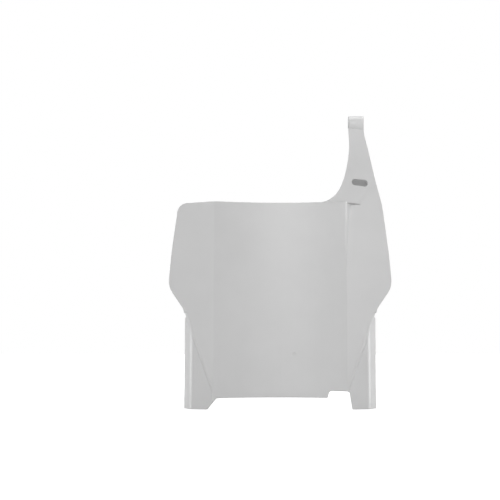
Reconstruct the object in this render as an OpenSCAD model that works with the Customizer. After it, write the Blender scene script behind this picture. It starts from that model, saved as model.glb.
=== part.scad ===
// Racing number board: a moulded front plate for an off-road motorcycle.
// One shell of even wall. X is the width, +Y goes back from the face and Z is up.
// The board is drawn upright in its own frame, then leant back on its two feet.

/* [Face] */
// Height of the face over its foot line, at the creases
body_h = 228.3; // [180:1:260]
// Half the distance between the two creases of the face
crease_x = 71.7; // [55:0.1:85]
// How far the middle panel stands proud of the line between its creases
panel_rise = 17; // [8:0.5:24]
// Dip of the top edge in the middle
top_dip = 5; // [0:0.5:12]
// Height of the panel's bottom edge
panel_z0 = 14.2; // [8:0.1:25]
// Largest half width, at the wings
wing_x = 121.9; // [100:0.1:135]
// Height of the wings' widest corners
wing_z = 135.8; // [125:0.1:150]
// Sweep of the wings behind the frontal plane
wing_sweep = 12; // [4:0.5:20]
// Height at which the right wing starts to lean back
lean_z = 155; // [130:1:190]
// Backward lean of the right wing over that height
wing_lean = 6; // [2:0.5:10]
// Angle of the step between the panel and the leaning wing
strip_angle = 60; // [45:1:75]

/* [Feet] */
// Height at which the shoulder line of a wing meets the foot's outer edge
shoulder_z = 107.5; // [90:1:125]
// Half width over the feet
foot_x = 105; // [95:0.1:115]
// Depth of the feet behind the foremost line of the face
foot_depth = 50; // [40:1:65]
// Sweep of a foot's face
foot_sweep = 20; // [10:1:30]
// Outward flare of a foot's side wall
foot_flare = 20; // [8:1:30]
// Round between a foot's face and its side wall
foot_r = 8; // [4:0.5:12]
// Round of the shoulder line over a foot
shoulder_r = 4; // [3.2:0.1:6]

/* [Arm] */
// Height of the bar's middle over the top edge of the face
hook_rise = 89.2; // [60:0.1:110]
// Depth of the bar's middle
hook_y = 33; // [30:0.1:45]
// Diameter of the crossbar that the hook takes
bar_d = 12.7; // [10:0.1:22.2]
// Clearance of the hook on the bar, on the diameter
bar_clear = 0.8; // [0.3:0.1:1.5]
// Opening of the hook
mouth_angle = 100; // [70:1:150]
// Left and right side of the arm at the hook
arm_x0 = 75.7; // [65:0.1:85]
arm_x1 = 92.2; // [87:0.1:105]
// Depth of the arm's face just under the hook
arm_y = 24; // [22:0.1:28]
// How far the arm's face turns to the front between the ledge and the hook
arm_twist = 18; // [8:1:24]
// Ledge at the root of the arm, under the top edge of the face
ledge_drop = 1.2; // [0:0.1:6]
// Step of the arm behind the panel
ledge_step = 1.2; // [0.5:0.1:3]

/* [Strap slot] */
// Length of the slot
slot_l = 17.9; // [12:0.1:26]
// Height of the slot
slot_h = 7.1; // [4:0.1:10]
// Middle of the slot, across and over the top edge of the face
slot_x = 87.4; // [80:0.1:95]
slot_rise = 22.3; // [12:0.1:36]
// Free depth for the strap between the arm and the bridge
strap_gap = 6; // [3:0.1:8]
// How far the bridge reaches above the slot
bridge_over = 4; // [0:0.5:8]

/* [Hose notch] */
// Left side and top of the notch beside the right foot
notch_x = 50.8; // [35:0.1:60]
notch_z = 21.6; // [16:0.1:30]

/* [Shell] */
// Wall
wall = 3; // [2:0.1:4]
// Depth of the rim behind the face
rim = 6.5; // [5:0.1:12]
// Lean of the standing board
lean = 5.5; // [2:0.5:10]

/* [Hidden] */
$fn = 96;
far = 400;
panel_r = (crease_x * crease_x + panel_rise * panel_rise) / (2 * panel_rise);
shoulder_run = (foot_x - 0.5 - crease_x) / cos(wing_sweep);
shoulder_angle = atan(shoulder_run / (shoulder_z - panel_z0 + 1));
foot_y = panel_rise + 2;
hook_z = body_h + hook_rise;
slot_z = body_h + slot_rise;
ledge_z = body_h - ledge_drop;
bore_r = (bar_d + bar_clear) / 2;
hook_r = bore_r + wall;
front_y = panel_z0 * sin(lean);
back_y = hook_y * cos(lean) + hook_z * sin(lean) + hook_r;

function unit(v) = v / norm(v);
function turn(v) = [-v[1], v[0]];
function flat(p) = [p[0], p[1]];
function rad(p) = len(p) > 2 ? p[2] : 0;
function at(list, i) = list[(i + len(list)) % len(list)];
function side(a, b) = turn(unit(flat(b) - flat(a)));

// Corner points [x, y, radius], anticlockwise, moved inward by t with their rounds
function inset(pts, t) = [for (i = [0:len(pts) - 1])
    let (p = pts[i],
         m = side(at(pts, i - 1), p),
         n = side(p, at(pts, i + 1)),
         bend = m[0] * n[1] - m[1] * n[0],
         q = flat(p) + (m + n) * t / (1 + m * n),
         r = rad(p))
    [q[0], q[1], r == 0 ? 0 : bend > 0 ? max(r - t, 0.5) : r + t]];

// Arc in place of one corner point
function arc(a, p, b) =
    let (u = unit(flat(a) - flat(p)),
         v = unit(flat(b) - flat(p)),
         half = acos(u * v) / 2,
         c = flat(p) + unit(u + v) * p[2] / sin(half),
         s = flat(p) + u * p[2] / tan(half) - c,
         e = flat(p) + v * p[2] / tan(half) - c,
         a0 = atan2(s[1], s[0]),
         d = atan2(s[0] * e[1] - s[1] * e[0], s * e),
         n = max(2, ceil(abs(d) / 8)))
    [for (k = [0:n]) c + p[2] * [cos(a0 + d * k / n), sin(a0 + d * k / n)]];

function rounded(pts) = [for (i = [0:len(pts) - 1])
    let (p = pts[i])
    each rad(p) == 0 ? [flat(p)] : arc(at(pts, i - 1), p, at(pts, i + 1))];

function curve(a, b, c, d, n) = [for (k = [0:n])
    let (s = k / n, q = 1 - s)
    q * q * q * a + 3 * q * q * s * b + 3 * q * s * s * c + s * s * s * d];

function top_z(x) = body_h - top_dip + top_dip * pow(x / crease_x, 2);

// Front view of the face with its arm, anticlockwise
wing_bend_z = wing_z + 0.4225 * (body_h - wing_z);
outline = concat(
    [[-98, -5], [-77.9, 3, 4], [-68.5, panel_z0, 3]],
    [[notch_x, panel_z0, 1.5], [notch_x + 1.6, notch_z, 4], [74.5, notch_z, 3], [79, -5]],
    [[foot_x, -5], [foot_x, shoulder_z - 6], [foot_x - 1.2, shoulder_z + 1.5, 12]],
    [[wing_x, wing_z, 22], [wing_x - 3.3, wing_bend_z, 100], [wing_x - 9.5, body_h - 1.5, 120]],
    [[arm_x1 + 0.8, hook_z - 13, 15], [arm_x1 + 0.2, hook_z - 6], [arm_x0 - 0.2, hook_z - 6]],
    [[arm_x0 + 0.7, hook_z - 26, 60]],
    curve([arm_x0 - 1.1, hook_z - 42], [arm_x0 - 7.2, slot_z - 12],
        [arm_x0 - 16.7, body_h + 1], [44, top_z(44)], 9),
    [for (k = [0.42:-0.21:-0.9]) [k * crease_x, top_z(k * crease_x)]],
    [[-crease_x, body_h, 60], [10.4 - wing_x, body_h - 1, 11]],
    [[3.3 - wing_x, wing_bend_z, 100], [-wing_x, wing_z, 22]],
    [[1.2 - foot_x, shoulder_z + 1.5, 12], [-foot_x, shoulder_z - 6], [-foot_x, -5]]);

module front_prism(pts, depth) {
    rotate([90, 0, 0])
        translate([0, 0, -depth])
            linear_extrude(height = depth + 5)
                polygon(rounded(pts));
}

// Half width of the middle panel at a depth, between its slanted sides
function side_x(y, t) = crease_x - t / sin(strip_angle) + (y - panel_rise) / tan(strip_angle);

// Everything behind the middle panel, set back by t
module panel_mass(t) {
    intersection() {
        translate([0, panel_r, -10])
            cylinder(r = panel_r - t, h = far, $fn = 360);
        translate([0, 0, -20])
            linear_extrude(height = far)
                polygon([
                    [-side_x(-20, t), -20],
                    [side_x(-20, t), -20],
                    [side_x(90, t), 90],
                    [-side_x(90, t), 90]]);
        rotate([90, 0, 0])
            translate([0, 0, -100])
                linear_extrude(height = 120)
                    polygon(concat(
                        [[-120, -20], [130, -20], [130, body_h - t]],
                        [for (x = [crease_x, 60, 50, 40]) [x, top_z(x) - t]],
                        [[40, far], [-120, far]]));
    }
}

// Profile across the shoulder line: face, riser and the round between them
module shoulder_profile(t) {
    polygon(concat(
        [[-250, 90], [-250, t]],
        arc([-250, t], [-t, t, max(shoulder_r - t, 0.5)], [-t, 90]),
        [[-t, 90]]));
}

module wing_frame() {
    translate([crease_x, panel_rise, panel_z0 - 1])
        rotate([0, 0, wing_sweep])
            children();
}

// Everything behind a wing's face, over its shoulder line
module wing_mass(t) {
    intersection() {
        wing_frame() {
            rotate([0, shoulder_angle, 0])
                translate([0, 0, -60])
                    linear_extrude(height = far)
                        shoulder_profile(t);
            translate([-60, t, shoulder_z - panel_z0 + 1 + min(t, wall)])
                cube([140, 90, far]);
        }
        translate([30, -20, -20])
            cube([110, 110, far]);
    }
}

module leaning_wing_mass(t) {
    intersection() {
        wing_mass(t);
        wing_frame()
            translate([0, 0, lean_z - panel_z0 + 1])
                rotate([-wing_lean, 0, 0])
                    translate([-90, t, -far])
                        cube([200, 150, 2 * far]);
    }
}

function foot_line(x) = foot_y + (x - crease_x) * tan(foot_sweep);

// Plan of a foot: swept face, round corner and flared side wall
foot_cx = (foot_x - 0.2 - (foot_depth - foot_y + crease_x * tan(foot_sweep)) * tan(foot_flare))
    / (1 - tan(foot_sweep) * tan(foot_flare));
foot_plan = [
    [60, foot_line(60)],
    [foot_cx, foot_line(foot_cx), foot_r],
    [foot_x - 0.2 + 40 * tan(foot_flare), foot_depth + 40],
    [60, foot_depth + 40]];

module foot_mass(t) {
    translate([0, 0, -20])
        linear_extrude(height = shoulder_z + 45 - t)
            polygon(rounded(inset(foot_plan, t)));
}

// Everything behind the arm. Its face is one large round that leans across the arm: it
// starts along the panel's curve at the ledge and has turned to the front at the hook.
arm_mid = (arm_x0 + arm_x1) / 2;
arm_yaw = asin(arm_mid / (panel_r - ledge_step));
arm_foot = panel_r - (panel_r - ledge_step) * cos(arm_yaw);
arm_run = hook_z - 12 - ledge_z;
arm_slant = atan(tan(arm_twist) * (panel_r - ledge_step) / arm_run);
arm_r = (panel_r - ledge_step) * pow(cos(arm_slant), 2);
arm_bow = arm_r - sqrt(pow(arm_r, 2) - pow(arm_run * sin(arm_slant), 2));
arm_pitch = atan((arm_bow - (arm_y - arm_foot) * cos(arm_yaw)) / arm_run);

module arm_mass(t) {
    root = crease_x - 1.2;
    intersection() {
        translate([arm_mid, arm_foot, ledge_z])
            rotate([0, 0, arm_yaw])
                rotate([arm_pitch, 0, 0])
                    rotate([0, arm_slant, 0])
                        translate([0, arm_r, -150])
                            cylinder(r = arm_r - t, h = 350, $fn = 300);
        rotate([90, 0, 0])
            translate([0, 0, -90])
                linear_extrude(height = 110)
                    polygon([
                        [40, 205], [root, 205], [root, ledge_z + t],
                        [125, ledge_z + t], [125, hook_z], [40, hook_z]]);
    }
}

module form(t) {
    panel_mass(t);
    mirror([1, 0, 0])
        wing_mass(t);
    leaning_wing_mass(t);
    foot_mass(t);
    mirror([1, 0, 0])
        foot_mass(t);
    arm_mass(t);
}

// The shell: wall behind the face and a rim along every edge but the feet's soles
module shell() {
    difference() {
        intersection() {
            form(0);
            front_prism(outline, foot_depth);
        }
        intersection() {
            form(wall);
            front_prism(inset(outline, wall), foot_depth + 5);
        }
        form(rim);
        foot_taper();
        mirror([1, 0, 0])
            foot_taper();
    }
}

// Slope that ends a foot's side wall behind the wing
module foot_taper() {
    translate([90, 0, 0])
        rotate([90, 0, 90])
            linear_extrude(height = 40)
                polygon([
                    [foot_depth, shoulder_z - 4],
                    [foot_depth + 10, shoulder_z - 7],
                    [foot_depth + 10, shoulder_z + 20],
                    [33.5, shoulder_z + 20],
                    [33.5, shoulder_z + 1]]);
}

module hook_solid() {
    translate([arm_x0, hook_y, hook_z])
        rotate([90, 0, 90])
            cylinder(r = hook_r, h = arm_x1 - arm_x0);
}

// Bore of the hook and its mouth, which opens down and back
module hook_void() {
    a0 = 250;
    reach = 11;
    translate([arm_x0 - 20, hook_y, hook_z])
        rotate([90, 0, 90])
            cylinder(r = bore_r, h = arm_x1 - arm_x0 + 40);
    translate([arm_x0 - 1, hook_y, hook_z])
        rotate([90, 0, 90])
            linear_extrude(height = arm_x1 - arm_x0 + 2)
                polygon([
                    [0, 0],
                    reach * [cos(a0), sin(a0)],
                    1.3 * reach * [cos(a0 + mouth_angle / 2), sin(a0 + mouth_angle / 2)],
                    reach * [cos(a0 + mouth_angle), sin(a0 + mouth_angle)]]);
}

// Bridge behind the slot: a bar on two legs that the strap passes under
bridge_y = 35.5 + strap_gap;
bridge_w = slot_l + 2;
module bridge() {
    intersection() {
        difference() {
            translate([slot_x - bridge_w / 2 - wall, 15, slot_z - slot_h / 2])
                cube([bridge_w + 2 * wall, bridge_y + wall - 15, slot_h + bridge_over]);
            translate([slot_x - bridge_w / 2, 10, slot_z - slot_h])
                cube([bridge_w, bridge_y - 10, 2 * slot_h + bridge_over]);
        }
        form(wall / 2);
    }
}

module slot_void() {
    for (s = [-1, 1])
        translate([slot_x + s * (slot_l - slot_h) / 2, -5, slot_z])
            rotate([-90, 0, 0])
                cylinder(r = slot_h / 2, h = bridge_y + 4);
    translate([slot_x - (slot_l - slot_h) / 2, -5, slot_z - slot_h / 2])
        cube([slot_l - slot_h, bridge_y + 4, slot_h]);
}

module upright() {
    difference() {
        union() {
            difference() {
                shell();
                slot_void();
            }
            hook_solid();
        }
        hook_void();
    }
    bridge();
}

module number_board() {
    color("#d9dbda")
        translate([0, -(front_y + back_y) / 2, 0])
            difference() {
                rotate([-lean, 0, 0])
                    upright();
                translate([-far / 2, -far / 2, -50])
                    cube([far, far, 50]);
            }
}

number_board();
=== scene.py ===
import math

import bpy
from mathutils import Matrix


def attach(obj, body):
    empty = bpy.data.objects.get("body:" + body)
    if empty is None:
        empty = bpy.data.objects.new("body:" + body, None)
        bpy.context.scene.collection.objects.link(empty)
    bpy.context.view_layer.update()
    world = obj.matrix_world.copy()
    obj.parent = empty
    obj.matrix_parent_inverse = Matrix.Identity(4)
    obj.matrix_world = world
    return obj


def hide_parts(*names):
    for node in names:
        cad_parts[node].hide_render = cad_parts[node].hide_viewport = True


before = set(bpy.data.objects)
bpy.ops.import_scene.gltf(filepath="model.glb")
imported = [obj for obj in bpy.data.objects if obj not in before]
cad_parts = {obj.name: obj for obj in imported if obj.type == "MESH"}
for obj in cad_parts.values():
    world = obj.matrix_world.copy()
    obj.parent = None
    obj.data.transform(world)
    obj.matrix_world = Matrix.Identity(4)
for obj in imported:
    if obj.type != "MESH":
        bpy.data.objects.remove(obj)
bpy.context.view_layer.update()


# Camera: low in front of the board and tilted up by 3 degrees, as in the photograph.
# The lens is raised by the little that the framing needs. Its sizes are in picture pixels.
picture = 500
focal_length = 1431
bpy.ops.object.camera_add(location=(0.0, -1.5549, 0.0769), rotation=(math.radians(90 + 3), 0, 0))
camera = bpy.context.object
camera.name = "camera"
camera.data.sensor_width = 36.0
camera.data.sensor_fit = "HORIZONTAL"
camera.data.lens = 36.0 * focal_length / picture
camera.data.shift_x = -30.2 / picture
camera.data.shift_y = 12.7 / picture
camera.data.clip_end = 20
bpy.context.scene.camera = camera
bpy.context.scene.view_settings.view_transform = "Standard"


# The board: one injection moulding in white polypropylene, with a 3 mm wall all over.
# Its edges are softly rounded where the tool was, and it is fixed by its own hook and a strap.
def linear(code):
    channels = [int(code[i:i + 2], 16) / 255 for i in (1, 3, 5)]
    return [c / 12.92 if c <= 0.04045 else ((c + 0.055) / 1.055) ** 2.4 for c in channels] + [1.0]


def add(tree, kind, links=(), **settings):
    node = tree.nodes.new(kind)
    for name, value in settings.items():
        setattr(node, name, value)
    for socket, value in links:
        if isinstance(value, bpy.types.NodeSocket):
            tree.links.new(value, node.inputs[socket])
        else:
            node.inputs[socket].default_value = value
    return node


cad_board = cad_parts["number_board"]
bpy.ops.object.select_all(action="DESELECT")
bpy.context.view_layer.objects.active = cad_board
cad_board.select_set(True)
bpy.ops.object.duplicate()
board = bpy.context.object
board.name = "board"
board.data.name = "board"
bpy.ops.object.mode_set(mode="EDIT")
bpy.ops.mesh.select_all(action="SELECT")
bpy.ops.mesh.remove_doubles(threshold=0.00002)
bpy.ops.mesh.dissolve_limited(angle_limit=math.radians(0.5))
bpy.ops.mesh.quads_convert_to_tris(quad_method="BEAUTY", ngon_method="BEAUTY")
bpy.ops.object.mode_set(mode="OBJECT")

# A hairline bevel along the edges keeps the shading of the faces beside them even.
hairline = board.modifiers.new("hairline", "BEVEL")
hairline.width = 0.00002
hairline.segments = 1
hairline.limit_method = "ANGLE"
hairline.angle_limit = math.radians(28)
hairline.use_clamp_overlap = True
bpy.ops.object.modifier_apply(modifier="hairline")
bpy.ops.object.shade_smooth_by_angle(angle=math.radians(40))
even_normals = board.modifiers.new("even_normals", "WEIGHTED_NORMAL")
even_normals.weight = 100
even_normals.keep_sharp = True
bpy.ops.object.modifier_apply(modifier="even_normals")

# White polypropylene, moulded against a finely spark-eroded tool: an off-white that is a
# little waxy, with a broad soft sheen and faint cloudy patches where the plastic flowed.
polypropylene = bpy.data.materials.new("white polypropylene, injection moulded")
polypropylene.use_nodes = True
tree = polypropylene.node_tree
shader = tree.nodes["Principled BSDF"]
shader.inputs["IOR"].default_value = 1.49
place = add(tree, "ShaderNodeTexCoord").outputs["Object"]

# Flow clouds are faint: the two whites are 7 levels of 255 apart.
cloud_size = 0.035
clouds = add(tree, "ShaderNodeTexNoise", [
    ("Vector", place), ("Scale", 1 / cloud_size), ("Detail", 2.0)])
tint = add(tree, "ShaderNodeMix", [
    (0, clouds.outputs["Fac"]), (6, linear("#D4D4D4")), (7, linear("#DBDBDB"))], data_type="RGBA")
tree.links.new(tint.outputs[2], shader.inputs["Base Color"])
gloss = add(tree, "ShaderNodeMapRange", [
    ("Value", clouds.outputs["Fac"]),
    ("From Min", 0.3), ("From Max", 0.7), ("To Min", 0.40), ("To Max", 0.47)])
tree.links.new(gloss.outputs[0], shader.inputs["Roughness"])

# Every moulded edge is broken by a soft round, in the shading.
edge_radius = 0.0014
edge_round = add(tree, "ShaderNodeBevel", [("Radius", edge_radius)], samples=8)

# The tool's texture is 0.15 mm on the real part, too fine to show, and is drawn at 0.7 mm.
texture_size = 0.0007
texture = add(tree, "ShaderNodeTexNoise", [
    ("Vector", place), ("Scale", 1 / texture_size), ("Detail", 2.0)])
fine = add(tree, "ShaderNodeBump", [
    ("Height", texture.outputs["Fac"]), ("Strength", 0.10), ("Distance", 0.0002),
    ("Normal", edge_round.outputs["Normal"])])

# The gate, where the plastic entered, left a round dimple 4 mm across, low on the panel.
# It is on the face only, so surfaces turned to the back are left flat.
gate_x, gate_z = 0.0152, 0.0594
axes = add(tree, "ShaderNodeSeparateXYZ", [(0, place)])
across = add(tree, "ShaderNodeMath", [(0, axes.outputs["X"]), (1, gate_x)], operation="SUBTRACT")
upward = add(tree, "ShaderNodeMath", [(0, axes.outputs["Z"]), (1, gate_z)], operation="SUBTRACT")
offset = add(tree, "ShaderNodeCombineXYZ", [("X", across.outputs[0]), ("Y", upward.outputs[0])])
reach = add(tree, "ShaderNodeVectorMath", [(0, offset.outputs[0])], operation="LENGTH")
dimple = add(tree, "ShaderNodeMapRange", [
    ("Value", reach.outputs["Value"]),
    ("From Min", 0.0012), ("From Max", 0.0022), ("To Min", 0.0), ("To Max", 1.0)],
    interpolation_type="SMOOTHSTEP")
turned = add(tree, "ShaderNodeSeparateXYZ", [
    (0, add(tree, "ShaderNodeNewGeometry").outputs["True Normal"])])
behind = add(tree, "ShaderNodeMath", [(0, turned.outputs["Y"]), (1, 0.0)], operation="GREATER_THAN")
relief = add(tree, "ShaderNodeMath", [
    (0, dimple.outputs[0]), (1, behind.outputs[0])], operation="MAXIMUM")
bump = add(tree, "ShaderNodeBump", [
    ("Height", relief.outputs[0]), ("Strength", 1.0), ("Distance", 0.0003),
    ("Normal", fine.outputs["Normal"])])
tree.links.new(bump.outputs["Normal"], shader.inputs["Normal"])

for thing in (board, cad_board):
    thing.data.materials.clear()
    thing.data.materials.append(polypropylene)
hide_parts("number_board")
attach(board, "root")


# Floor: a wide sheet of white paper under the board.
# It is shown white, more so further out, and keeps the board's soft shadow.
def seen(tree, usual, shown, end):
    rays = add(tree, "ShaderNodeLightPath")
    mirrored = add(tree, "ShaderNodeMath", [
        (0, rays.outputs["Is Glossy Ray"]), (1, rays.outputs["Is Transmission Ray"])],
        operation="MAXIMUM")
    direct = add(tree, "ShaderNodeMath", [
        (0, rays.outputs["Is Camera Ray"]), (1, mirrored.outputs[0])], operation="MAXIMUM")
    choice = add(tree, "ShaderNodeMixShader", [
        (0, direct.outputs[0]), (1, usual.outputs[0]), (2, shown.outputs[0])])
    tree.links.new(choice.outputs[0], tree.nodes[end].inputs["Surface"])


bpy.ops.object.select_all(action="DESELECT")
bpy.ops.mesh.primitive_plane_add(size=10, location=(0, 0, 0))
floor = bpy.context.object
floor.name = "floor"
paper = bpy.data.materials.new("white paper, matt")
paper.use_nodes = True
tree = paper.node_tree
sheet = tree.nodes["Principled BSDF"]
sheet.inputs["Base Color"].default_value = linear("#D4D4D4")
sheet.inputs["Roughness"].default_value = 0.9
spot = add(tree, "ShaderNodeTexCoord").outputs["Object"]
away = add(tree, "ShaderNodeVectorMath", [(0, spot)], operation="LENGTH")
fade = add(tree, "ShaderNodeMapRange", [
    ("Value", away.outputs["Value"]),
    ("From Min", 0.25), ("From Max", 0.8), ("To Min", 0.6), ("To Max", 1.0)],
    interpolation_type="SMOOTHSTEP")
glow = add(tree, "ShaderNodeEmission", [
    ("Color", linear("#FFFFFF")), ("Strength", fade.outputs[0])])
lit = add(tree, "ShaderNodeAddShader", [(0, sheet.outputs[0]), (1, glow.outputs[0])])
seen(tree, sheet, lit, "Material Output")
floor.data.materials.append(paper)


# Surround: a pale room, dim in front of the board and bright behind it, so that surfaces
# turned to the side and the back are pale. What is seen of it directly is white.
world = bpy.data.worlds.new("pale surround")
bpy.context.scene.world = world
world.use_nodes = True
tree = world.node_tree
surround = tree.nodes["Background"]
surround.inputs["Color"].default_value = (1, 1, 1, 1)
way = add(tree, "ShaderNodeSeparateXYZ", [
    (0, add(tree, "ShaderNodeTexCoord").outputs["Generated"])])
level = add(tree, "ShaderNodeMapRange", [
    ("Value", way.outputs["Y"]),
    ("From Min", -0.1), ("From Max", 0.5), ("To Min", 0.23), ("To Max", 0.7)],
    interpolation_type="SMOOTHSTEP")
tree.links.new(level.outputs[0], surround.inputs["Strength"])
white = add(tree, "ShaderNodeBackground", [("Color", (1, 1, 1, 1)), ("Strength", 1.0)])
seen(tree, surround, white, "World Output")


# Lamps: a soft box in front and above, a smaller one to its right, one straight above, and two
# tall ones behind the board on either side, which draw its turned edges and its feet's walls.
# The last three are seen only in the sheen, and draw the pale lines along edges and shoulders.
board_middle = 0.17
for name, x, y, z, width, height, watts, diffuse in (
        ("front box", 0, -1.35, 0.95, 0.7, 0.5, 8.9, True),
        ("right box", 0.55, -1.5, 0.75, 0.5, 0.5, 2.4, True),
        ("top box", 0, 0.15, 1.4, 0.9, 0.4, 2.0, True),
        ("left rear box", -1.0, 0.42, 0.35, 0.3, 0.9, 2.2, True),
        ("right rear box", 1.0, 0.42, 0.35, 0.3, 0.9, 2.6, True),
        ("left glint", -1.0, 0.16, 0.25, 0.3, 0.9, 9, False),
        ("right glint", 1.0, 0.16, 0.25, 0.3, 0.9, 9, False),
        ("top glint", 0, 0.15, 1.3, 0.9, 0.3, 8, False)):
    bpy.ops.object.light_add(type="AREA", location=(x, y, z))
    lamp = bpy.context.object
    lamp.name = name
    lamp.data.shape = "RECTANGLE"
    lamp.data.size = width
    lamp.data.size_y = height
    lamp.data.energy = watts
    lamp.visible_camera = False
    lamp.visible_diffuse = diffuse
    lamp.rotation_euler = (math.atan2(math.hypot(x, y), z - board_middle), 0, math.atan2(x, -y))
